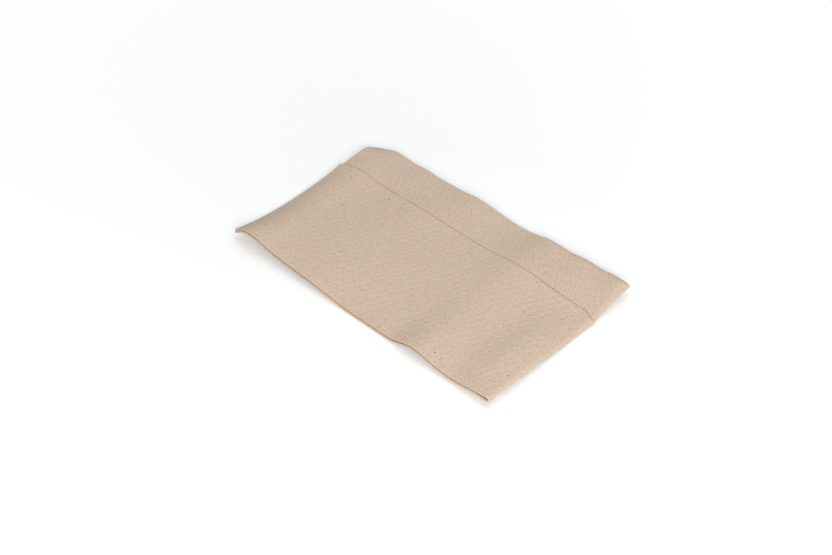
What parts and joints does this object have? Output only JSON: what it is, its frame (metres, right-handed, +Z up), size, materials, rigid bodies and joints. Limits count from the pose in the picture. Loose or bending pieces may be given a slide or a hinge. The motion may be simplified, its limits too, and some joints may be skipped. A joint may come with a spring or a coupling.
{
  "type": "paper napkin",
  "caption": "Folded paper napkin of thin kraft tissue, with a lengthwise flap and a cross fold, lying in soft waves as it comes from a dispenser.",
  "frame": {"origin": "under the middle of the folded sheet, on the surface it rests on", "axes": "+X along the folded strip, from the open ends to the cross fold; +Y across it, from the long fold to the free long edges; +Z up"},
  "size_m": [0.1714, 0.1016, 0.0093],
  "materials": {
    "tissue": "matte, creped and lightly embossed"
  },
  "bodies": {
    "root": {"napkin": "tissue"}
  },
  "joints": []
}
